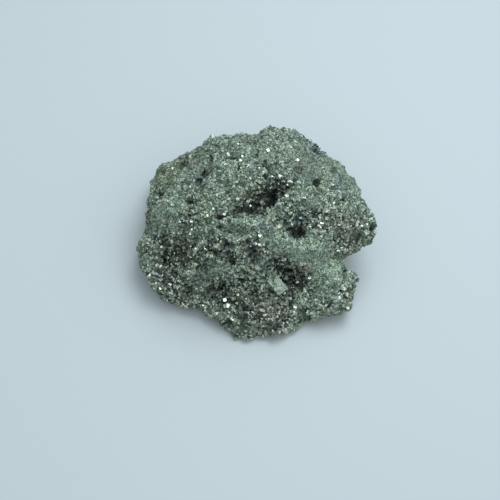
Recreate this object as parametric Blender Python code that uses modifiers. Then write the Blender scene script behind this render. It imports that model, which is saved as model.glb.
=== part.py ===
"""Pyrite cluster: one natural lump of grown-together pyrite crystals that rests on a small flat spot.

Metres, +Z up. The origin is the middle of the lump's bounding box at the surface that it rests on, +X is the
longest way across it, and the side with the deep hollows faces -Y.

The lump is built as one solid. Rounded lobes are joined and rounded off, their rim is drawn to the outline
seen from the front and above, the front and the left side are lowered, strokes press in the hollows and raise
the ridges, and a noise adds the smaller lumps. The foot is cut flat, and the larger crystals, which are cubes
and pyritohedra, are fused to the surface.
"""

import math
import random
from collections import namedtuple

import bmesh
import bpy
import numpy as np
from mathutils import Euler, Matrix, Vector, noise
from mathutils.bvhtree import BVHTree

MM = 0.001
NAME = "pyrite_cluster"

# The front view, which the outline and the strokes are placed in. It looks down from the front, and places in
# it are millimetres across and up the plane that stands square to the line of sight through AIM.
VIEW_ELEVATION = math.radians(60)
VIEW_DISTANCE = 260
AIM = np.array((-2.3, -4.2, 11.6))
ACROSS = np.array((1.0, 0.0, 0.0))
UP = np.array((0.0, math.sin(VIEW_ELEVATION), math.cos(VIEW_ELEVATION)))
TO_EYE = np.array((0.0, -math.cos(VIEW_ELEVATION), math.sin(VIEW_ELEVATION)))
EYE = AIM + VIEW_DISTANCE * TO_EYE

# The rounded masses that make up the lump: centre and radii in millimetres, and the turn about Z in degrees.
Lobe = namedtuple("Lobe", "name centre radii turn")
LOBES = (
    Lobe("main mass", (0, 3, 14), (23, 19, 16), 0),
    Lobe("front slope", (-1, -9, 10), (19, 13, 9.5), 0),
    Lobe("summit", (3, 6, 20), (15, 13, 12.5), 0),
    Lobe("back shoulder", (4, 14, 15), (17, 12, 13), -8),
    Lobe("left shoulder", (-15, 3, 14), (13, 14, 13), 10),
    Lobe("left knee", (-19, -6, 11), (10.5, 10, 9), 25),
    Lobe("front toe", (-3, -16, 7), (15, 10, 8), 0),
    Lobe("front right paw", (14, -14, 9), (10.5, 8.5, 8.5), 20),
    Lobe("right horn", (21, -1, 15), (9, 6, 6), -5),
    Lobe("right back slope", (15, 8, 12), (11, 13, 11), 0),
    Lobe("back left ledge", (-17, 13, 9), (10, 10, 8), -20),
)
LOBE_STEPS = 4
VOXEL = 0.8
ROUNDING = 14
# The grid that the shaped skin is laid anew over, which opens its folds.
SKIN_VOXEL = 0.55

# The outline in the front view, clockwise from the top, as places across and up in millimetres.
OUTLINE = (
    (4.1, 29.8), (11.3, 28.5), (15.7, 25.8), (19.0, 22.6), (21.4, 21.0), (24.1, 17.8), (26.5, 14.5),
    (26.8, 12.0), (30.6, 8.4), (31.7, 5.3), (29.9, 1.9), (25.5, -1.1), (22.7, -2.6), (25.7, -6.0),
    (25.4, -11.6), (24.1, -15.3), (17.8, -16.6), (13.5, -18.1), (9.2, -21.0), (5.3, -20.5), (0.0, -22.0),
    (-3.4, -21.4), (-7.2, -18.6), (-12.0, -14.2), (-15.4, -14.6), (-21.2, -12.3), (-24.1, -8.7),
    (-26.7, -2.9), (-27.5, 0.5), (-25.1, 6.3), (-24.6, 12.5), (-23.4, 17.3), (-21.2, 20.8), (-16.9, 22.9),
    (-14.0, 23.9), (-10.1, 26.9), (-5.8, 28.1), (0.5, 27.7),
)
OUTLINE_MIDDLE = np.array((2.0, 3.0))
OUTLINE_BINS = 120

# The front and the left side hang low: how far up and across in the front view that begins and is full, how
# far they sink along the line of sight, and the height from which all of that holds. The foot itself stays.
LOW_FRONT_FROM, LOW_FRONT_FULL = 4.0, -12.0
LOW_LEFT_FROM, LOW_LEFT_FULL = -11.0, -23.0
LOW_SINKING = 6.5
LOW_FROM_HEIGHT = 8.5

# Hollows, grooves, ridges and swellings seen in the front view: the middle, the half length and half width in
# millimetres, the heading in degrees from level, and how far the surface rises towards the eye.
Stroke = namedtuple("Stroke", "name across up half_length half_width heading rise")
STROKES = (
    Stroke("main hollow", 2.4, 12.4, 8.6, 3.7, 28, -3.0),
    Stroke("main hollow's deep end", 5.0, 13.0, 3.4, 2.6, 30, -2.0),
    Stroke("main hollow's left end", -2.4, 10.0, 3.4, 2.0, 20, -1.5),
    Stroke("ridge below the main hollow", -1.2, 6.2, 8.5, 2.8, -6, 1.8),
    Stroke("second hollow", 11.0, 5.2, 3.8, 2.6, -72, -3.4),
    Stroke("second hollow's shelf", 12.2, 8.8, 3.6, 3.0, 60, -2.0),
    Stroke("ridge across to the notch", 12.5, 0.8, 9.5, 3.0, -16, 1.5),
    Stroke("trench", 9.0, -5.6, 6.8, 3.0, -36, -3.4),
    Stroke("slab beside the trench", 6.6, -8.3, 3.2, 2.0, -50, 1.4),
    Stroke("knob in the trench", 13.8, -7.4, 1.8, 1.6, 0, 1.3),
    Stroke("left recess", -18.6, -0.4, 5.0, 4.2, -30, -2.4),
    Stroke("left recess's corner", -16.6, -0.2, 1.7, 3.0, 0, -1.5),
    Stroke("lump below the left recess", -14.8, -5.0, 3.2, 1.8, 18, 1.2),
    Stroke("crack above that lump", -13.0, -3.4, 3.0, 1.2, 12, -1.2),
    Stroke("knob left of the middle", -12.6, -0.4, 3.2, 2.3, -5, 1.4),
    Stroke("pocket below the middle", -6.8, -9.8, 3.0, 3.2, -10, -2.0),
    Stroke("pocket right of that one", -3.2, -9.0, 1.4, 1.4, 0, -1.0),
    Stroke("rim of that pocket", -3.6, -11.4, 2.2, 1.3, 15, 1.2),
    Stroke("small pocket right of the middle", 0.6, -0.4, 1.8, 1.7, 0, -1.8),
    Stroke("small pocket left of the middle", -4.3, -2.3, 1.6, 1.5, 0, -1.6),
    Stroke("pocket above the toe", 1.9, -10.8, 3.8, 2.2, -8, -1.6),
    Stroke("hole in the lower left", -14.8, -10.3, 1.6, 1.6, 0, -1.6),
    Stroke("knob at the lower left", -12.4, -11.4, 2.4, 1.9, 0, 1.2),
    Stroke("hole at the toe", -5.0, -17.2, 1.7, 1.5, 0, -1.6),
    Stroke("hole in the front rim", 13.3, -16.7, 2.0, 1.4, 20, -1.5),
    Stroke("hollow under the horn", 25.6, 2.8, 3.0, 1.9, 32, -2.4),
    Stroke("hole in the paw", 19.1, -13.4, 1.7, 1.5, 0, -1.5),
    Stroke("hole in the right slope", 16.5, 16.5, 1.2, 1.1, 0, -1.6),
    Stroke("groove in the upper left", -11.0, 19.0, 4.2, 1.5, 74, -1.7),
    Stroke("pit at that groove's foot", -12.2, 17.0, 1.6, 1.5, 0, -1.2),
    Stroke("groove behind the left shoulder", -19.4, 16.4, 6.2, 1.6, 47, -2.0),
    Stroke("groove above the horn", 23.5, 13.2, 3.4, 1.4, -50, -1.0),
    Stroke("swelling on the paw", 20.0, -6.8, 5.2, 5.4, 0, 1.6),
    Stroke("swelling at the top left", -6.0, 20.0, 3.4, 2.4, 5, 1.3),
    Stroke("swelling at the top", 4.3, 23.4, 3.0, 2.8, 0, 1.0),
    Stroke("streak on the left shoulder", -20.6, 11.6, 3.8, 1.7, 58, 0.9),
    Stroke("knob in the middle", -7.6, -3.6, 2.0, 2.6, 20, 1.0),
    Stroke("ball at the front rim", 7.1, -19.2, 2.0, 2.0, 0, 1.9),
)
# How far the edges of the strokes wander, in millimetres, and the distance between two turns of an edge.
WANDER = 1.5
WANDER_SPACING = 3.6

# Lumps all over the surface: the distance between them and how far they stand out, in millimetres. The two
# smaller kinds are strongest on the lower left and the front, and fade where the top and right are smooth.
Lumps = namedtuple("Lumps", "spacing height")
BROAD_SWELLS = Lumps(10.0, 3.2)
SWELLS_IN_FRONT = 0.4
ROUND_LUMPS = Lumps(4.6, 1.1)
FINE_LUMPS = Lumps(2.6, 0.8)
SMOOTH_MIDDLE = np.array((8.0, 10.0))
SMOOTH_REACH = 26.0
LUMPS_ON_SMOOTH = 0.5

BODY_TRIANGLES = 5000
# The cube under the lump that cuts its foot flat, wider than the lump.
CUTTER_SIZE = 90

# Fused crystals: those whose faces stand out in the front view, then those strewn over the whole lump, which
# stand closest where it is roughest.
Crystal = namedtuple("Crystal", "name across up edge")
SEEN_CRYSTALS = (
    Crystal("left rim", -23.9, -6.3, 1.2),
    Crystal("left rim, lower", -21.8, -9.0, 1.5),
    Crystal("left rim, inner", -19.2, -9.8, 1.3),
    Crystal("front, brightest", -5.6, -13.6, 1.3),
    Crystal("front, left of the brightest", -9.1, -12.6, 1.2),
    Crystal("toe, left", -4.2, -16.6, 1.1),
    Crystal("toe, middle", -1.2, -16.5, 1.1),
    Crystal("rim ball", 8.2, -19.2, 1.3),
    Crystal("rim ball, left", 5.8, -18.8, 1.2),
    Crystal("front rim", 11.0, -13.7, 1.2),
    Crystal("paw, corner", 23.8, -13.9, 1.5),
    Crystal("paw, rim", 24.6, -9.8, 1.2),
    Crystal("horn, tip", 29.7, 6.9, 1.4),
    Crystal("horn, side", 27.0, 8.0, 1.3),
    Crystal("horn, below", 27.6, 2.6, 1.3),
    Crystal("beside the trench", 1.3, -5.4, 1.4),
    Crystal("in the trench", 9.5, -6.1, 1.1),
    Crystal("ridge", 4.4, 5.9, 1.2),
    Crystal("beside the second hollow", 11.8, 9.9, 1.1),
    Crystal("small pocket", 2.1, 1.2, 1.1),
    Crystal("beside the main hollow", 7.8, 14.7, 1.1),
    Crystal("left of the main hollow", -6.6, 13.6, 1.0),
    Crystal("ring", -3.2, -8.9, 1.2),
)
# The bright faces in the front view all look nearly straight up.
BRIGHT_FACE = (0.16, -0.14, 0.98)
STREWN = 92
SMALLEST_EDGE = 1.0
LARGEST_EDGE = 1.9
SUNK = 0.14
CRYSTAL_GAP = 1.2
CLEAR_OF_FLOOR = 0.4
# The flat green crystal beside the trench: its sizes along, across and through.
SLAB_PLACE = (6.6, -8.3)
SLAB_HEADING = -50
SLAB_SIZES = (4.4, 2.7, 1.4)
PYRITOHEDRON_SHARE = 0.22
PYRITOHEDRON_BEVEL = 0.5
SEED = 17


def clear_scene():
    for thing in list(bpy.data.objects):
        bpy.data.objects.remove(thing, do_unlink=True)


def collection(name):
    found = bpy.data.collections.new(name)
    bpy.context.scene.collection.children.link(found)
    return found


def pyrite_material():
    material = bpy.data.materials.new("pyrite")
    material.use_nodes = True
    shader = material.node_tree.nodes["Principled BSDF"]
    shader.inputs["Base Color"].default_value = (0.30, 0.33, 0.25, 1)
    shader.inputs["Metallic"].default_value = 0.85
    shader.inputs["Roughness"].default_value = 0.42
    return material


def object_from(mesh_maker, name, place):
    """A linked object whose mesh is what mesh_maker fills a new bmesh with, in metres."""
    mesh = bpy.data.meshes.new(name)
    built = bmesh.new()
    mesh_maker(built)
    built.to_mesh(mesh)
    built.free()
    thing = bpy.data.objects.new(name, mesh)
    place.objects.link(thing)
    return thing


def evaluated_mesh(thing, name):
    """A new mesh as thing's modifiers leave it."""
    bpy.context.view_layer.update()
    graph = bpy.context.evaluated_depsgraph_get()
    mesh = bpy.data.meshes.new_from_object(thing.evaluated_get(graph))
    mesh.name = name
    return mesh


def remake(thing, name, place):
    """Replaces thing by a plain object that holds its evaluated mesh."""
    made = bpy.data.objects.new(name, evaluated_mesh(thing, name))
    place.objects.link(made)
    bpy.data.objects.remove(thing, do_unlink=True)
    return made


def points_of(mesh):
    """The mesh's vertices in millimetres, as rows."""
    flat = np.empty(len(mesh.vertices) * 3)
    mesh.vertices.foreach_get("co", flat)
    return flat.reshape(-1, 3) / MM


def normals_of(mesh):
    flat = np.empty(len(mesh.vertices) * 3)
    mesh.vertices.foreach_get("normal", flat)
    return flat.reshape(-1, 3)


def set_points(mesh, points):
    mesh.vertices.foreach_set("co", (points * MM).ravel())
    mesh.update()


def on_view_plane(points):
    """Places across and up in the front view, and the millimetres of the lump that one millimetre there spans."""
    away = points - EYE
    depth = -(away @ TO_EYE)
    share = VIEW_DISTANCE / depth
    return np.stack([(away @ ACROSS) * share, (away @ UP) * share], 1), 1 / share


def line_of_sight(across, up):
    """The unit direction from the eye to a place in the front view."""
    way = AIM + across * ACROSS + up * UP - EYE
    return way / np.linalg.norm(way)


def add_lobes(built):
    for lobe in LOBES:
        turn = Matrix.Rotation(math.radians(lobe.turn), 4, "Z")
        placed = Matrix.Translation(Vector(lobe.centre) * MM) @ turn @ Matrix.Diagonal((*lobe.radii, 1))
        bmesh.ops.create_icosphere(built, subdivisions=LOBE_STEPS, radius=MM, matrix=placed)


def add_skin(lump, voxel):
    """A modifier that makes one closed skin around what overlaps or folds."""
    skin = lump.modifiers.new("skin", "REMESH")
    skin.mode = "VOXEL"
    skin.voxel_size = voxel * MM


def joined_lobes(place):
    """The lobes fused into one closed skin and rounded off where they meet."""
    lump = object_from(add_lobes, "lobes", place)
    add_skin(lump, VOXEL)
    rounding = lump.modifiers.new("rounding", "SMOOTH")
    rounding.factor = 0.5
    rounding.iterations = ROUNDING
    return remake(lump, "lump", place)


def radius_by_heading(places):
    """The outline's distance from OUTLINE_MIDDLE at each of OUTLINE_BINS headings, where it crosses them."""
    closed = np.vstack([places, places[:1]]) - OUTLINE_MIDDLE
    steps = 40
    share = np.linspace(0, 1, steps, endpoint=False)[:, None]
    fine = np.concatenate([a + (b - a) * share for a, b in zip(closed[:-1], closed[1:])])
    heading = np.arctan2(fine[:, 1], fine[:, 0])
    order = np.argsort(heading)
    bins = np.linspace(-math.pi, math.pi, OUTLINE_BINS, endpoint=False)
    return bins, np.interp(bins, heading[order], np.hypot(*fine[order].T), period=2 * math.pi)


def widest_by_heading(places, bins):
    """How far out places reach at each heading."""
    apart = places - OUTLINE_MIDDLE
    step = 2 * math.pi / len(bins)
    index = np.floor((np.arctan2(apart[:, 1], apart[:, 0]) + math.pi) / step + 0.5).astype(int) % len(bins)
    widest = np.zeros(len(bins))
    np.maximum.at(widest, index, np.hypot(*apart.T))
    return widest


def drawn_to_outline(points):
    """Stretches the lump across the line of sight, most at its rim, until its outline is OUTLINE."""
    bins, wanted = radius_by_heading(np.array(OUTLINE))
    for _ in range(3):
        places, spans = on_view_plane(points)
        widest = widest_by_heading(places, bins)
        apart = places - OUTLINE_MIDDLE
        reach = np.hypot(*apart.T)
        heading = np.arctan2(apart[:, 1], apart[:, 0])
        rim = np.interp(heading, bins, widest, period=2 * math.pi)
        stretch = np.interp(heading, bins, wanted / widest, period=2 * math.pi)
        share = np.clip(reach / rim, 0, 1) ** 3
        shift = apart * ((stretch - 1) * share * spans)[:, None]
        points = points + shift[:, :1] * ACROSS + shift[:, 1:] * UP
    return points


def eased(values, start, full):
    """0 where values are at start or before it, 1 at full or beyond it, and smooth between."""
    share = np.clip((values - start) / (full - start), 0, 1)
    return share * share * (3 - 2 * share)


def lowered(points):
    """Sinks the front and the left side along the line of sight, which leaves the front view as it is."""
    places, _ = on_view_plane(points)
    front = eased(places[:, 1], LOW_FRONT_FROM, LOW_FRONT_FULL)
    left = eased(places[:, 0], LOW_LEFT_FROM, LOW_LEFT_FULL)
    sinking = LOW_SINKING * (1 - (1 - front) * (1 - left)) * np.clip(points[:, 2] / LOW_FROM_HEIGHT, 0, 1)
    away = points - EYE
    return points + away * (sinking / np.linalg.norm(away, axis=1))[:, None]


def wandered(places):
    """The places moved a little each way, which gives a stroke an uneven edge."""
    across = [noise.noise(Vector((a, u, 0)) / WANDER_SPACING) for a, u in places]
    up = [noise.noise(Vector((a, u, 50)) / WANDER_SPACING) for a, u in places]
    return places + WANDER * np.stack([across, up], 1)


def pressed(points, normals):
    """Each stroke moves the surface that faces the eye along the line of sight."""
    facing = np.clip((normals @ TO_EYE + 0.15) / 0.4, 0, 1)
    away = points - EYE
    towards_eye = -away / np.linalg.norm(away, axis=1)[:, None]
    places = wandered(on_view_plane(points)[0])
    rise = np.zeros(len(points))
    for stroke in STROKES:
        apart = places - (stroke.across, stroke.up)
        turn = math.radians(stroke.heading)
        along = apart @ (math.cos(turn), math.sin(turn)) / stroke.half_length
        beside = apart @ (-math.sin(turn), math.cos(turn)) / stroke.half_width
        rise += stroke.rise * np.clip(1 - along**2 - beside**2, 0, 1) ** 1.4
    return points + towards_eye * (rise * facing)[:, None]


def lump_height(point, lumps):
    """Rounded lumps with creases between them, about 0 on average."""
    nearest, second = noise.voronoi(Vector(point) / lumps.spacing)[0][:2]
    return lumps.height * (min(second - nearest, 0.5) * 1.6 - 0.4)


def swollen(points, normals):
    """Broad swells, which make the rounded lobes uneven, and less so where the strokes shape the front."""
    rise = np.array([noise.noise(Vector(p) / BROAD_SWELLS.spacing) for p in points])
    share = 1 - (1 - SWELLS_IN_FRONT) * np.clip(normals @ TO_EYE, 0, 1)
    return points + normals * (BROAD_SWELLS.height * rise * share)[:, None]


def roughness_at(points, normals):
    """1 where the surface is roughest, and down to LUMPS_ON_SMOOTH where the front view shows it smooth."""
    places, _ = on_view_plane(points)
    from_smooth = np.hypot(*(places - SMOOTH_MIDDLE).T) / SMOOTH_REACH
    from_smooth[normals @ TO_EYE < 0] = 1
    return LUMPS_ON_SMOOTH + (1 - LUMPS_ON_SMOOTH) * np.clip(from_smooth, 0, 1) ** 2


def roughened(points, normals):
    """Adds the lumps, lower where the surface is smooth."""
    rise = np.array([lump_height(p, ROUND_LUMPS) + lump_height(p + 31.7, FINE_LUMPS) for p in points])
    return points + normals * (rise * roughness_at(points, normals))[:, None]


def simplified(lump, place):
    """The lump without folds and as about BODY_TRIANGLES triangles, which leaves it facetted."""
    add_skin(lump, SKIN_VOXEL)
    lump = remake(lump, "lump", place)
    triangles = sum(len(face.vertices) - 2 for face in lump.data.polygons)
    decimate = lump.modifiers.new("facets", "DECIMATE")
    decimate.use_collapse_triangulate = True
    decimate.ratio = BODY_TRIANGLES / triangles
    return remake(lump, "lump", place)


def add_cube(built, placed):
    bmesh.ops.create_cube(built, size=1, matrix=placed)


def cut_foot(lump, place):
    """Cuts the lump off flat at the surface that it rests on."""
    below = Matrix.Translation((0, 0, -CUTTER_SIZE * MM / 2)) @ Matrix.Scale(CUTTER_SIZE * MM, 4)
    cutter = object_from(lambda built: add_cube(built, below), "foot cutter", place)
    cut = lump.modifiers.new("foot", "BOOLEAN")
    cut.operation = "DIFFERENCE"
    cut.solver = "EXACT"
    cut.object = cutter
    made = remake(lump, "lump", place)
    bpy.data.objects.remove(cutter, do_unlink=True)
    return made


def add_pyritohedron(built, placed):
    """Twelve five-sided faces, which pyrite grows as often as cubes, about as wide as a cube of edge 1."""
    h = PYRITOHEDRON_BEVEL
    corners = [Vector((x, y, z)) for x in (-1, 1) for y in (-1, 1) for z in (-1, 1)]
    for long in (-1 - h, 1 + h):
        for short in (-1 + h * h, 1 - h * h):
            corners += [Vector((0, long, short)), Vector((short, 0, long)), Vector((long, short, 0))]
    hull = bmesh.new()
    for corner in corners:
        hull.verts.new(placed @ (corner / (2 + h)))
    bmesh.ops.convex_hull(hull, input=hull.verts)
    mesh = bpy.data.meshes.new("pyritohedron")
    hull.to_mesh(mesh)
    hull.free()
    built.from_mesh(mesh)
    bpy.data.meshes.remove(mesh)


def seen_at(tree, across, up):
    """The point and the normal of the surface at a place in the front view, in metres."""
    point, normal, _, _ = tree.ray_cast(Vector(EYE) * MM, Vector(line_of_sight(across, up)))
    return point, normal


def strewn_places(lump, taken, chance):
    """(point, normal, edge) of each strewn crystal, in metres, clear of the foot and of those in taken."""
    found = []
    areas = np.array([face.area for face in lump.polygons])
    centres = np.array([face.center for face in lump.polygons]) / MM
    normals = np.array([face.normal for face in lump.polygons])
    weights = areas * roughness_at(centres, normals) ** 2
    while len(found) < STREWN:
        face = lump.polygons[chance.choices(range(len(weights)), weights)[0]]
        edge = chance.triangular(SMALLEST_EDGE, LARGEST_EDGE, SMALLEST_EDGE) * MM
        on_foot = face.center.z - edge < CLEAR_OF_FLOOR * MM
        others = taken + found
        crowded = any((face.center - p).length < CRYSTAL_GAP * (edge + other) for p, _, other in others)
        if not (on_foot or crowded):
            found.append((face.center.copy(), face.normal.copy(), edge))
    return found


def level_turn(heading):
    """A turn about the upright by heading, then a tilt that brings the top face to look along BRIGHT_FACE."""
    tilt = Vector((0, 0, 1)).rotation_difference(Vector(BRIGHT_FACE))
    return tilt.to_matrix().to_4x4() @ Matrix.Rotation(heading, 4, "Z")


def any_turn(chance):
    return Euler([chance.uniform(0, 2 * math.pi) for _ in range(3)]).to_matrix().to_4x4()


def add_crystals(built, lump, chance):
    tree = BVHTree.FromPolygons([v.co for v in lump.vertices], [p.vertices for p in lump.polygons])
    seen = [(*seen_at(tree, crystal.across, crystal.up), crystal.edge * MM) for crystal in SEEN_CRYSTALS]
    for point, normal, edge in seen:
        sunk = Matrix.Translation(point - normal * SUNK * edge)
        add_cube(built, sunk @ level_turn(chance.uniform(0, math.pi)) @ Matrix.Scale(edge, 4))
    for point, normal, edge in strewn_places(lump, seen, chance):
        stretch = [edge * chance.uniform(0.85, 1.15) for _ in range(3)]
        sunk = Matrix.Translation(point - normal * SUNK * edge)
        placed = sunk @ any_turn(chance) @ Matrix.Diagonal((*stretch, 1))
        if chance.random() < PYRITOHEDRON_SHARE:
            add_pyritohedron(built, placed)
        else:
            add_cube(built, placed)
    point, normal = seen_at(tree, *SLAB_PLACE)
    lying = Vector((0, 0, 1)).rotation_difference(Vector(TO_EYE)).to_matrix().to_4x4()
    turned = lying @ Matrix.Rotation(math.radians(SLAB_HEADING), 4, "Z")
    sizes = Matrix.Diagonal((*(Vector(SLAB_SIZES) * MM), 1))
    add_cube(built, Matrix.Translation(point) @ turned @ sizes)


def fused(lump, crystals, name, place):
    """The lump and its crystals as one solid."""
    union = lump.modifiers.new("crystals", "BOOLEAN")
    union.operation = "UNION"
    union.solver = "EXACT"
    union.use_self = True
    union.object = crystals
    made = remake(lump, name, place)
    bpy.data.objects.remove(crystals, do_unlink=True)
    return made


def centre_over_origin(mesh):
    """Moves the lump level, so that the middle of its box is over the origin."""
    points = points_of(mesh)
    middle = (points.max(0) + points.min(0)) / 2
    set_points(mesh, points - (middle[0], middle[1], 0))


def build():
    clear_scene()
    place = collection(NAME)
    chance = random.Random(SEED)
    lump = joined_lobes(place)
    mesh = lump.data
    set_points(mesh, swollen(points_of(mesh), normals_of(mesh)))
    set_points(mesh, drawn_to_outline(points_of(mesh)))
    set_points(mesh, lowered(points_of(mesh)))
    set_points(mesh, pressed(points_of(mesh), normals_of(mesh)))
    set_points(mesh, roughened(points_of(mesh), normals_of(mesh)))
    lump = simplified(lump, place)
    lump = cut_foot(lump, place)
    crystals = object_from(lambda built: add_crystals(built, lump.data, chance), "crystals", place)
    cluster = fused(lump, crystals, NAME, place)
    centre_over_origin(cluster.data)
    cluster.data.materials.clear()
    cluster.data.materials.append(pyrite_material())


build()
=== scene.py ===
import math
from collections import defaultdict, namedtuple

import bmesh
import bpy
import numpy as np
from mathutils import Matrix, Vector, noise
from mathutils.bvhtree import BVHTree


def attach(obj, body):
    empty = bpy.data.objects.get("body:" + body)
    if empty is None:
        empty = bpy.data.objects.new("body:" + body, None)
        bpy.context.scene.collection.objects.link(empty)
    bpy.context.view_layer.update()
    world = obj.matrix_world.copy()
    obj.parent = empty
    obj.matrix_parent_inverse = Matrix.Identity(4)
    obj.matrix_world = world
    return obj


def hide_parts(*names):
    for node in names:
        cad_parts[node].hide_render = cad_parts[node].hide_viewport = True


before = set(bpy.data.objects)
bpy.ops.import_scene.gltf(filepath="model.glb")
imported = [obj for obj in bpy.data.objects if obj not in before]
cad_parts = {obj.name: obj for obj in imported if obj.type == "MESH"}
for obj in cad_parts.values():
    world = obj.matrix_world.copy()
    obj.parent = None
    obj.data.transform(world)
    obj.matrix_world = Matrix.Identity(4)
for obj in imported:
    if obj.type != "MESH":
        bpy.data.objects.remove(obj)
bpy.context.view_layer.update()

MM = 0.001
CLUSTER = "pyrite_cluster"
# The bake map: its name, and the part of each cell that a face fills.
BAKE_MAP = "OFBake"
BAKE_SQUARE = (0.15, 0.85)
SEED = 11
chance = np.random.default_rng(SEED)

# The front view, which is the photograph's: it looks down from the front, and places in it are millimetres
# across and up the plane that stands square to the line of sight through AIM.
VIEW_ELEVATION = math.radians(60)
VIEW_DISTANCE = 260
AIM = np.array((-1.376, -6.12, 11.6))
LENS = 77.7
SENSOR_WIDTH = 36
CLIP_START = 0.005
ACROSS = np.array((1.0, 0.0, 0.0))
UP = np.array((0.0, math.sin(VIEW_ELEVATION), math.cos(VIEW_ELEVATION)))
TO_EYE = np.array((0.0, -math.cos(VIEW_ELEVATION), math.sin(VIEW_ELEVATION)))
EYE = AIM + VIEW_DISTANCE * TO_EYE

# Points are one if they agree in so many digits, and joined if so near. LEAST_AREA keeps a division safe.
SAME_DIGITS = 4
JOINED_WITHIN = 0.001
LEAST_AREA = 1e-9

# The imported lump's larger crystals are known by their sharp edges between flat faces of several triangles,
# and by the area of their faces, in square millimetres.
FLAT_ANGLE = math.radians(0.4)
SHARP_ANGLE = math.radians(44)
SMALLEST_CRYSTAL_AREA = 1.0
# The slab is the large one that faces the eye, nearer to it by SLAB_ABOVE than the lump's middle. It is cut
# finer, for its clouds of colour.
SLAB_AREA = 11.0
SLAB_CUTS = 11
SLAB_ABOVE = 4.0
SLAB_FACING = 0.95
# Of the others that lie beyond the middle by BARE_BEYOND, seen from the eye, about one in BARE_STEP is bare.
BARE_STEP = 3
BARE_BEYOND = 6.0
# The bare crystals have roots in the ground, which are drawn together by ROOT_TAPER.
ROOT_LENGTH = 0.9
ROOT_TAPER = 0.3

# The ground: the cells of its mesh and how they are smoothed, how far its highest parts lie from the packed
# lump's surface, how deep it lies inside the larger crystals, and its gap above the floor.
GROUND_VOXEL = 0.36
GROUND_SMOOTHING = 2
SMOOTHING_FACTOR = 0.5
GROUND_LIFT = -0.05
CRYSTAL_DEPTH = 0.5
FOOT_CLEARANCE = 0.05

# Clumps of the ground: the distance between them and how deep the creases between them are. Then how steep
# the creases are, how they deepen in coarse growth and fade in smooth or dull growth, and a fine grain.
Clumps = namedtuple("Clumps", "spacing depth")
CLUMPS = (Clumps(2.4, 0.45), Clumps(1.1, 0.30))
CREASE_STEEPNESS = 2.2
CREASES_ON_FINE, CREASES_ADDED_ON_COARSE = 0.7, 0.3
CREASES_LOST = 0.6
GRAIN_SPACING = 0.5
GRAIN_HEIGHT = 0.10

# The crust's crystals: their edges in coarse, ordinary, smooth and dull growth, how much those vary, the
# longest, how closely the crystals stand, and how much larger they are at the back and below.
COARSE_EDGE = 0.58
FINE_EDGE = 0.40
SMOOTH_EDGE = 0.34
DULL_EDGE = 0.34
EDGE_SPREAD = 0.26
LARGEST_CRUST_EDGE = 0.72
COVER = 1.65
UNSEEN_GROWTH = 1.7
# Their sides against their edge, how deep they are sunk against it, and how much deeper in smooth or dull
# growth.
SIDES = (0.75, 1.25)
SUNK = (-0.05, 0.25)
SUNK_MORE = 0.15
# How far they may reach against their size, their gap above the floor, and the kinds that aren't cubes.
REACH = 0.8
FLOOR_GAP = 0.05
OCTAHEDRON_SHARE = 0.5
OCTAHEDRON_CORNER = 0.72
LONG_SHARE = 0.35
LONG_STRETCH = 1.7

# Patches of the front view, in millimetres across and up: the half length and half width, the heading in
# degrees, and how strongly each holds. In the middle of one whose strength is above 1 it more than holds.
Patch = namedtuple("Patch", "name across up half_length half_width heading strength")


def patches(*rows):
    """A patch from each row of values."""
    return [Patch(*row) for row in rows]


COARSE_PATCHES = patches(
    ("left recess", -17.2, -0.8, 9.5, 6.0, 0, 1.0),
    ("above the left recess", -14.8, 7.3, 5.0, 3.0, 0, 0.6),
    ("lower left", -19.2, -7.2, 8.5, 4.2, -30, 0.8),
    ("left of the middle", -8.4, 0.6, 6.5, 4.2, 0, 0.9),
    ("front", -3.4, -10.6, 11.0, 5.4, 0, 0.9),
    ("toe", 1.7, -17.2, 9.0, 5.0, 0, 0.55),
    ("front right", 11.8, -14.6, 9.0, 3.6, 15, 0.6),
    ("paw's rim", 23.4, -12.3, 3.0, 5.0, 0, 0.5),
    ("trench", 9.8, -5.6, 7.5, 3.5, -38, 1.0),
    ("small pocket", 0.6, 0.4, 4.6, 3.4, 0, 1.0),
    ("middle", -2.2, -4.4, 5.5, 3.4, 0, 0.9),
    ("main hollow", 3.7, 13.3, 9.0, 4.0, 32, 1.0),
    ("above the main hollow", 4.4, 18.7, 3.0, 4.0, 0, 0.6),
    ("left of the main hollow", -6.8, 8.3, 2.2, 1.3, 0, 0.9),
    ("second hollow", 11.5, 6.6, 4.5, 4.0, -70, 0.8),
    ("horn", 27.0, 4.6, 7.0, 5.0, 20, 0.35),
    ("beside the horn", 18.9, 7.4, 6.5, 3.0, -10, 0.7),
    ("below the horn", 22.0, 1.6, 3.6, 3.0, 30, 0.8),
    ("left slope", -14.5, 10.6, 1.8, 4.2, 0, 0.6),
    ("above the front rim", 9.5, -10.8, 5.0, 2.6, -15, 0.8),
    ("lower left rim", -16.5, -11.8, 11.0, 3.2, -28, 0.8),
)
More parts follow.
